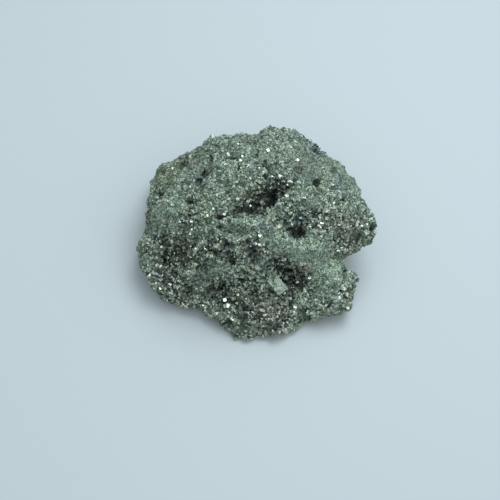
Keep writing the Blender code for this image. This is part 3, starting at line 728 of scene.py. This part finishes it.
def make_crystals(source, bare, slab):
    """The bare larger crystals with their looks."""
    mesh, on_slab = crystal_mesh(source, bare, slab)
    middles = np.array([face.center for face in mesh.polygons]) / MM
    normals = np.array([face.normal for face in mesh.polygons])
    growth = plainer(growth_at(middles, normals), on_slab)
    mottling = noise_at(middles, MOTTLING_SPACING, MOTTLING_SHIFT)
    finer = noise_at(middles, SLAB_MOTTLING_SPACING, MOTTLING_SHIFT)
    mottling = np.where(on_slab > 0, finer, mottling)
    shade = CRYSTAL_SHADE + (SLAB_SHADE - CRYSTAL_SHADE) * on_slab + CRYSTAL_MOTTLING * mottling
    fresh = CRYSTAL_FRESH + CRYSTAL_FRESH_ON_COARSE * growth.coarse
    add_looks(mesh, "FACE", growth_colours(middles, growth, 0.0, shade), fresh)
    return added("larger_crystals", mesh)


def remeshed_copy(source, name):
    """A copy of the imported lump's surface in fine even quads, a little smoothed."""
    copy = added(name, source.data.copy())
    copy.data.materials.clear()
    remesh = copy.modifiers.new("grain", "REMESH")
    remesh.mode = "VOXEL"
    remesh.voxel_size = GROUND_VOXEL * MM
    smooth = copy.modifiers.new("smooth", "SMOOTH")
    smooth.factor = SMOOTHING_FACTOR
    smooth.iterations = GROUND_SMOOTHING
    bpy.context.view_layer.update()
    mesh = bpy.data.meshes.new_from_object(copy.evaluated_get(bpy.context.evaluated_depsgraph_get()))
    copy.modifiers.clear()
    copy.data = mesh
    mesh.name = name
    return copy


def make_ground(source, points, triangles, bare):
    """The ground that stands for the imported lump, its growth, and which of its vertices bear no crust."""
    tree = BVHTree.FromPolygons(points.tolist(), triangles.tolist())
    ground = remeshed_copy(source, "ground")
    base = mesh_points(ground.data)
    outward = mesh_normals(ground.data)
    nearest = np.array([tree.find_nearest(Vector(p))[2] for p in base])
    under_crystal = bare[nearest]
    growth = growth_at(base, outward)
    deepest = sum(clumps.depth for clumps in CLUMPS)
    sunk = deepest * growth.crease + PIT_DEPTH * growth.pit + CRACK_DEPTH * growth.crack
    height = GROUND_LIFT - sunk + GRAIN_HEIGHT * noise_at(base, GRAIN_SPACING, GRAIN_SHIFT)
    height = np.where(under_crystal, -CRYSTAL_DEPTH, height)
    moved = base + outward * height[:, None]
    moved[:, 2] = np.maximum(moved[:, 2], FOOT_CLEARANCE)
    ground.data.vertices.foreach_set("co", (moved * MM).ravel())
    ground.data.update()
    # The ground's colour is darkened in the cracks with painted shade.
    colour = growth_colours(base, growth, 0.0, GROUND_SHADE - growth.crack)
    add_looks(ground.data, "POINT", colour, np.full(len(base), GROUND_FRESH))
    return ground, growth, under_crystal | (growth.crack > BARE_CRACK)


def growth_colours(points, growth, spread, shade):
    """The colour at each point, with painted shade in pits and creases and painted light on the light patches
    and in part on the smooth ones. The tint varies in clouds, and with the shade from crystal to crystal if
    spread is 1 rather than 0."""
    own_shade, own_tint = spread * chance.normal(size=(2, len(points)))
    own_shade = own_shade - SHADE_SKEW * (own_shade**2 - spread)
    tint = WARM_ON_COARSE * growth.coarse - GREEN_ON_SMOOTH * growth.smooth
    tint = tint + TINT_CLOUDS * noise_at(points, TINT_SPACING, TINT_SHIFT)
    tint = np.clip(tint + TINT_SPREAD * (TINT_BY_SHADE * own_shade + TINT_BY_ITSELF * own_tint), 0, 1)
    colour = GREEN + (WARM - GREEN) * tint[:, None]
    for hue, share in ((YELLOW, growth.yellow), (BLUE_DUST_AND_SHADE, growth.blue), (BROWN, growth.brown)):
        colour = colour + (hue - colour) * share[:, None]
    # Painted light on the light patches and in part on the smooth ones; painted shade in pits and creases.
    shade = shade + SMOOTH_TONE_AND_PAINTED_LIGHT * growth.smooth + PAINTED_LIGHT_SHADE * growth.light - DULL_SHADE * growth.dull
    shade = shade - PAINTED_PIT_SHADE * growth.pit - PAINTED_CREASE_SHADE * growth.crease
    varied = FINE_VARIETY + (COARSE_VARIETY - FINE_VARIETY) * growth.coarse - DULL_VARIETY * growth.dull
    shade = np.maximum(shade, DARKEST_SHADE) * np.exp(varied * own_shade - spread * varied**2 / 2)
    brightest = FINE_BRIGHTEST + (COARSE_BRIGHTEST - FINE_BRIGHTEST) * growth.coarse
    shade = np.minimum(shade, brightest / colour.max(1))
    return DARK + (colour - DARK) * shade[:, None]


def add_looks(mesh, domain, colour, fresh):
    """Stores each face's or vertex's colour, and how fresh it is: 0 is dull tarnish and 1 is clean metal."""
    with_alpha = np.concatenate([colour, np.ones((len(colour), 1))], 1)
    mesh.attributes.new("colour", "FLOAT_COLOR", domain).data.foreach_set("color", with_alpha.ravel())
    mesh.attributes.new("fresh", "FLOAT", domain).data.foreach_set("value", fresh)


def cube_template():
    """The corners and the faces of a cube whose edge is 1."""
    corners = np.array([(x, y, z) for x in (-0.5, 0.5) for y in (-0.5, 0.5) for z in (-0.5, 0.5)])
    faces = [(0, 1, 3, 2), (4, 6, 7, 5), (0, 4, 5, 1), (2, 3, 7, 6), (0, 2, 6, 4), (1, 5, 7, 3)]
    return corners, faces


def octahedron_template():
    """The corners and the faces of an octahedron that looks about as large."""
    corners = [(1, 0, 0), (-1, 0, 0), (0, 1, 0), (0, -1, 0), (0, 0, 1), (0, 0, -1)]
    faces = [(0, 2, 4), (2, 1, 4), (1, 3, 4), (3, 0, 4), (2, 0, 5), (1, 2, 5), (3, 1, 5), (0, 3, 5)]
    return OCTAHEDRON_CORNER * np.array(corners), faces


def random_turns(count):
    """Evenly spread random rotations as 3 x 3 matrices."""
    q = chance.normal(size=(count, 4))
    w, x, y, z = (q / np.linalg.norm(q, axis=1)[:, None]).T
    rows = [
        [1 - 2 * (y * y + z * z), 2 * (x * y - z * w), 2 * (x * z + y * w)],
        [2 * (x * y + z * w), 1 - 2 * (x * x + z * z), 2 * (y * z - x * w)],
        [2 * (x * z - y * w), 2 * (y * z + x * w), 1 - 2 * (x * x + y * y)],
    ]
    return np.array(rows).transpose(2, 0, 1)


# What the crystals of the crust are made from: an array for each fact, with an entry for each crystal.
Crust = namedtuple("Crust", "points sizes turns octahedral colour fresh")


def grow_crust(ground, growth, bare):
    """The place, size, turn, kind and looks of each crystal of the crust."""
    points = mesh_points(ground.data)
    normals = mesh_normals(ground.data)
    edge = FINE_EDGE + (COARSE_EDGE - FINE_EDGE) * growth.coarse
    edge = edge + (SMOOTH_EDGE - edge) * growth.smooth
    edge = (edge + (DULL_EDGE - edge) * growth.dull) * (UNSEEN_GROWTH + (1 - UNSEEN_GROWTH) * growth.seen)
    wanted = COVER * GROUND_VOXEL**2 / edge**2 * ~bare
    taken = np.repeat(np.arange(len(points)), (wanted + chance.random(len(points))).astype(int))
    points, normals, edge, growth = points[taken], normals[taken], edge[taken], chosen_growth(growth, taken)
    edge = np.minimum(edge * np.exp(chance.normal(0, EDGE_SPREAD, len(edge))), LARGEST_CRUST_EDGE)
    sunk = chance.uniform(*SUNK, len(edge)) + SUNK_MORE * growth.dull + SUNK_MORE * growth.smooth
    strewn = chance.uniform(-0.5, 0.5, points.shape) * GROUND_VOXEL
    points = points + strewn - normals * (sunk * edge)[:, None]
    sizes = edge[:, None] * chance.uniform(*SIDES, points.shape)
    octahedral = chance.random(len(sizes)) < OCTAHEDRON_SHARE
    long = ~octahedral & (chance.random(len(sizes)) < LONG_SHARE)
    sizes[:, 0] *= np.where(long, LONG_STRETCH, 1.0)
    clear = points[:, 2] - REACH * sizes.max(1) > FLOOR_GAP
    points, sizes, octahedral = points[clear], sizes[clear], octahedral[clear]
    growth = chosen_growth(growth, clear)
    count = len(points)
    colour = growth_colours(points, growth, 1.0, CRUST_SHADE)
    fresh = FINE_FRESHNESS + (COARSE_FRESHNESS - FINE_FRESHNESS) * growth.coarse
    fresh = fresh - SMOOTH_TARNISH * growth.smooth - DULL_TARNISH * growth.dull
    fresh = np.clip(fresh + FRESH_SPREAD * chance.normal(size=count), 0, 1)
    return Crust(points, sizes, random_turns(count), octahedral, colour, fresh)


def grow_sparks(ground):
    """The crystals that mirror the key light to the front view, as more of the crust."""
    tree = BVHTree.FromPolygons(mesh_points(ground.data).tolist(), mesh_triangles(ground.data).tolist())
    points, sizes, turns = [], [], []
    for across, up, edge in SPARKS:
        way = Vector(AIM + across * ACROSS + up * UP - EYE).normalized()
        point, normal, _, _ = tree.ray_cast(Vector(EYE), way)
        if point is None:
            continue
        mirror = (-way + (KEY_PLACE / MM - point).normalized()).normalized()
        turn = Vector((0, 0, 1)).rotation_difference(mirror).to_matrix()
        heading = Matrix.Rotation(chance.uniform(0, math.pi), 3, "Z")
        points.append(point + normal * SPARK_LIFT)
        sizes.append([edge] * 3)
        turns.append(np.array(turn @ heading))
    count = len(points)
    colour = CLEAN * chance.uniform(*SPARK_SHADE, (count, 1))
    octahedral = np.zeros(count, dtype=bool)
    return Crust(
        np.array(points), np.array(sizes), np.array(turns), octahedral, colour, np.full(count, SPARK_FRESH)
    )


def joined_crystals(crust, chosen, template):
    """The chosen crystals of the crust: arrays of corners, loops, face sizes and each face's crystal."""
    corners, faces = template
    count = len(chosen)
    shaped = corners[None] * crust.sizes[chosen, None]
    placed = np.einsum("nij,nkj->nki", crust.turns[chosen], shaped) + crust.points[chosen][:, None]
    offsets = np.arange(count)[:, None] * len(corners)
    loops = (np.concatenate([np.array(face) for face in faces])[None] + offsets).ravel()
    sizes = np.tile([len(face) for face in faces], count)
    return placed.reshape(-1, 3), loops, sizes, np.repeat(chosen, len(faces))


def mesh_from(name, parts, crust):
    """One mesh of several kinds of crystals."""
    mesh = bpy.data.meshes.new(name)
    points, loops, sizes, owner = zip(*parts)
    starts = np.cumsum([0] + [len(part) for part in points[:-1]])
    loops = np.concatenate([part + start for part, start in zip(loops, starts)])
    points, sizes, owner = np.concatenate(points), np.concatenate(sizes), np.concatenate(owner)
    mesh.vertices.add(len(points))
    mesh.vertices.foreach_set("co", (points * MM).ravel())
    mesh.loops.add(len(loops))
    mesh.loops.foreach_set("vertex_index", loops)
    mesh.polygons.add(len(sizes))
    mesh.polygons.foreach_set("loop_start", np.concatenate([[0], np.cumsum(sizes)[:-1]]))
    mesh.update(calc_edges=True)
    mesh.shade_flat()
    add_looks(mesh, "FACE", crust.colour[owner], crust.fresh[owner])
    return mesh


def add_bake_map(mesh):
    """A bake map, in which each face, of three or four corners, has a square of its own."""
    layer = mesh.uv_layers.new(name=BAKE_MAP)
    count = len(mesh.polygons)
    across = math.ceil(math.sqrt(count))
    sizes = np.empty(count, dtype=np.int64)
    mesh.polygons.foreach_get("loop_total", sizes)
    face = np.repeat(np.arange(count), sizes)
    corner = np.arange(len(mesh.loops)) - np.repeat(np.cumsum(sizes) - sizes, sizes)
    cell = np.stack([face % across, face // across], 1)
    low, high = BAKE_SQUARE
    square = np.array([(low, low), (high, low), (high, high), (low, high)])
    layer.uv.foreach_set("vector", ((cell + square[corner]) / across).ravel())


def make_crust(crust):
    """The crust as six joined meshes, in two rows of three, with about as many crystals in each."""
    x, y = crust.points[:, 0], crust.points[:, 1]
    left = x < np.median(x)
    material = pyrite_material("pyrite crust", CRUST_BUMP)
    pieces = []
    for side, on_side in (("left", left), ("right", ~left)):
        row = np.searchsorted(np.quantile(y[on_side], (1 / 3, 2 / 3)), y)
        for index, depth in enumerate(("front", "middle", "back")):
            here = on_side & (row == index)
            parts = [
                joined_crystals(crust, np.flatnonzero(here & ~crust.octahedral), cube_template()),
                joined_crystals(crust, np.flatnonzero(here & crust.octahedral), octahedron_template()),
            ]
            name = f"crust_{side}_{depth}"
            mesh = mesh_from(name, parts, crust)
            mesh.materials.append(material)
            pieces.append(added(name, mesh))
    return pieces


def node(tree, kind, **values):
    """A new shader node of a kind, with some of its settings."""
    made = tree.nodes.new(kind)
    for key, value in values.items():
        setattr(made, key, value)
    return made


def ranged(tree, value, low, high, edges=(0.0, 1.0)):
    """value, between its two edges, as a number from low to high."""
    made = node(tree, "ShaderNodeMapRange")
    tree.links.new(value, made.inputs["Value"])
    made.inputs["From Min"].default_value, made.inputs["From Max"].default_value = edges
    made.inputs["To Min"].default_value = low
    made.inputs["To Max"].default_value = high
    return made.outputs["Result"]


def fixed_texture(made, tree, spacing, detail):
    """The values, from 0 to 1, of a texture node that is fixed to the piece."""
    made.inputs["Scale"].default_value = 1 / (spacing * MM)
    made.inputs["Detail"].default_value = detail
    tree.links.new(node(tree, "ShaderNodeTexCoord").outputs["Object"], made.inputs["Vector"])
    return made.outputs["Fac"]


def noise_texture(tree, spacing):
    return fixed_texture(node(tree, "ShaderNodeTexNoise"), tree, spacing, NOISE_DETAIL)


def striations(tree):
    """Fine parallel lines, which any flat face cuts into straight ones, a little uneven."""
    made = node(tree, "ShaderNodeTexWave", wave_type="BANDS", bands_direction="DIAGONAL")
    made.inputs["Distortion"].default_value = STRIATION_WAVER
    return fixed_texture(made, tree, STRIATION_SPACING, STRIATION_DETAIL)


def bumped(tree, height, depth, strength, below=None):
    """The normal with height, from 0 to 1, standing out by depth, on top of the bump below."""
    made = node(tree, "ShaderNodeBump")
    made.inputs["Strength"].default_value = strength
    made.inputs["Distance"].default_value = depth * MM
    tree.links.new(height, made.inputs["Height"])
    if below is not None:
        tree.links.new(below, made.inputs["Normal"])
    return made.outputs["Normal"]


def speckled(tree, colour):
    """colour with small dark specks of tarnish."""
    made = node(tree, "ShaderNodeMix", data_type="RGBA")
    specks = ranged(tree, noise_texture(tree, SPECK_SPACING), 0.0, SPECK_STRENGTH, SPECK_EDGES)
    tree.links.new(specks, made.inputs["Factor"])
    tree.links.new(colour, made.inputs[MIX_FIRST])
    made.inputs[MIX_SECOND].default_value = (*DARK, 1)
    return made.outputs[MIX_RESULT]


def pyrite_material(name, grain_bump, striated=False):
    """Pyrite in the colours stored on the mesh, duller and rougher where it is less fresh."""
    material = bpy.data.materials.new(name)
    material.use_nodes = True
    tree = material.node_tree
    shader = tree.nodes["Principled BSDF"]
    colour = node(tree, "ShaderNodeAttribute", attribute_name="colour").outputs["Color"]
    fresh = node(tree, "ShaderNodeAttribute", attribute_name="fresh").outputs["Fac"]
    shader.inputs["Specular IOR Level"].default_value = SPECULAR_LEVEL
    tree.links.new(speckled(tree, colour), shader.inputs["Base Color"])
    tree.links.new(ranged(tree, fresh, DULL_METAL, FRESH_METAL), shader.inputs["Metallic"])
    tree.links.new(ranged(tree, fresh, DULL_ROUGHNESS, FRESH_ROUGHNESS), shader.inputs["Roughness"])
    normal = bumped(tree, noise_texture(tree, GRAIN_BUMP_SPACING), GRAIN_BUMP_DEPTH, grain_bump)
    if striated:
        normal = bumped(tree, striations(tree), STRIATION_DEPTH, STRIATION_BUMP, normal)
    tree.links.new(normal, shader.inputs["Normal"])
    return material


def floor_material():
    material = bpy.data.materials.new("floor")
    material.use_nodes = True
    shader = material.node_tree.nodes["Principled BSDF"]
    shader.inputs["Base Color"].default_value = (*FLOOR_COLOUR, 1)
    shader.inputs["Roughness"].default_value = FLOOR_ROUGHNESS
    return material


def make_floor():
    mesh = bpy.data.meshes.new("floor")
    half = FLOOR_SIZE / 2
    corners = [(-half, -half, 0), (half, -half, 0), (half, half, 0), (-half, half, 0)]
    mesh.from_pydata(corners, [], [(0, 1, 2, 3)])
    mesh.materials.append(floor_material())
    floor = added("floor", mesh)


def make_key_light():
    """A round soft light, turned to the lump."""
    light = bpy.data.lights.new("key", "AREA")
    light.shape = "DISK"
    light.size = KEY_SIZE
    light.energy = KEY_POWER
    light.color = LIGHT_COLOUR
    lamp = added("key", light)
    lamp.location = KEY_PLACE
    lamp.rotation_euler = (KEY_PLACE - KEY_AIM).to_track_quat("Z", "Y").to_euler()


def make_world():
    """Soft light from all round, brighter towards SKY_MIDDLE."""
    world = bpy.data.worlds.new("studio")
    bpy.context.scene.world = world
    world.use_nodes = True
    tree = world.node_tree
    coordinates = node(tree, "ShaderNodeTexCoord")
    direction = node(tree, "ShaderNodeVectorMath", operation="DOT_PRODUCT")
    direction.inputs[1].default_value = Vector(SKY_MIDDLE).normalized()
    tree.links.new(coordinates.outputs["Generated"], direction.inputs[0])
    ramp = node(tree, "ShaderNodeValToRGB")
    for element, place, strength in zip(ramp.color_ramp.elements, SKY_REACH, (SKY_EDGE, SKY_TOP)):
        element.position = place
        element.color = (*(strength * part for part in LIGHT_COLOUR), 1)
    tree.links.new(direction.outputs["Value"], ramp.inputs["Fac"])
    tree.links.new(ramp.outputs["Color"], tree.nodes["Background"].inputs["Color"])


def make_camera():
    camera = bpy.data.cameras.new("camera")
    camera.lens = LENS
    camera.sensor_width = SENSOR_WIDTH
    camera.clip_start = CLIP_START
    holder = added("camera", camera)
    holder.location = Vector(EYE) * MM
    holder.rotation_euler = Vector(TO_EYE).to_track_quat("Z", "Y").to_euler()
    bpy.context.scene.camera = holder


def make_pieces():
    """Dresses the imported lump. The order of the random draws is that of the calls."""
    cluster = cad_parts[CLUSTER]
    points = mesh_points(cluster.data)
    triangles = mesh_triangles(cluster.data)
    bare, slab = chosen_crystals(points, triangles)
    ground, growth, no_crust = make_ground(cluster, points, triangles, bare)
    ground.data.materials.append(pyrite_material("pyrite ground", GROUND_BUMP))
    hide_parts(CLUSTER)
    crystals = make_crystals(cluster, bare, slab)
    crystals.data.materials.append(pyrite_material("pyrite crystals", CRYSTAL_BUMP, striated=True))
    crust = grow_crust(ground, growth, no_crust)
    sparks = grow_sparks(ground)
    crust = Crust(*(np.concatenate(pair) for pair in zip(crust, sparks)))
    for piece in (ground, crystals, *make_crust(crust)):
        add_bake_map(piece.data)
        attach(piece, "root")


bpy.context.scene.view_settings.view_transform = "Standard"
make_camera()
make_key_light()
make_world()
make_floor()
make_pieces()
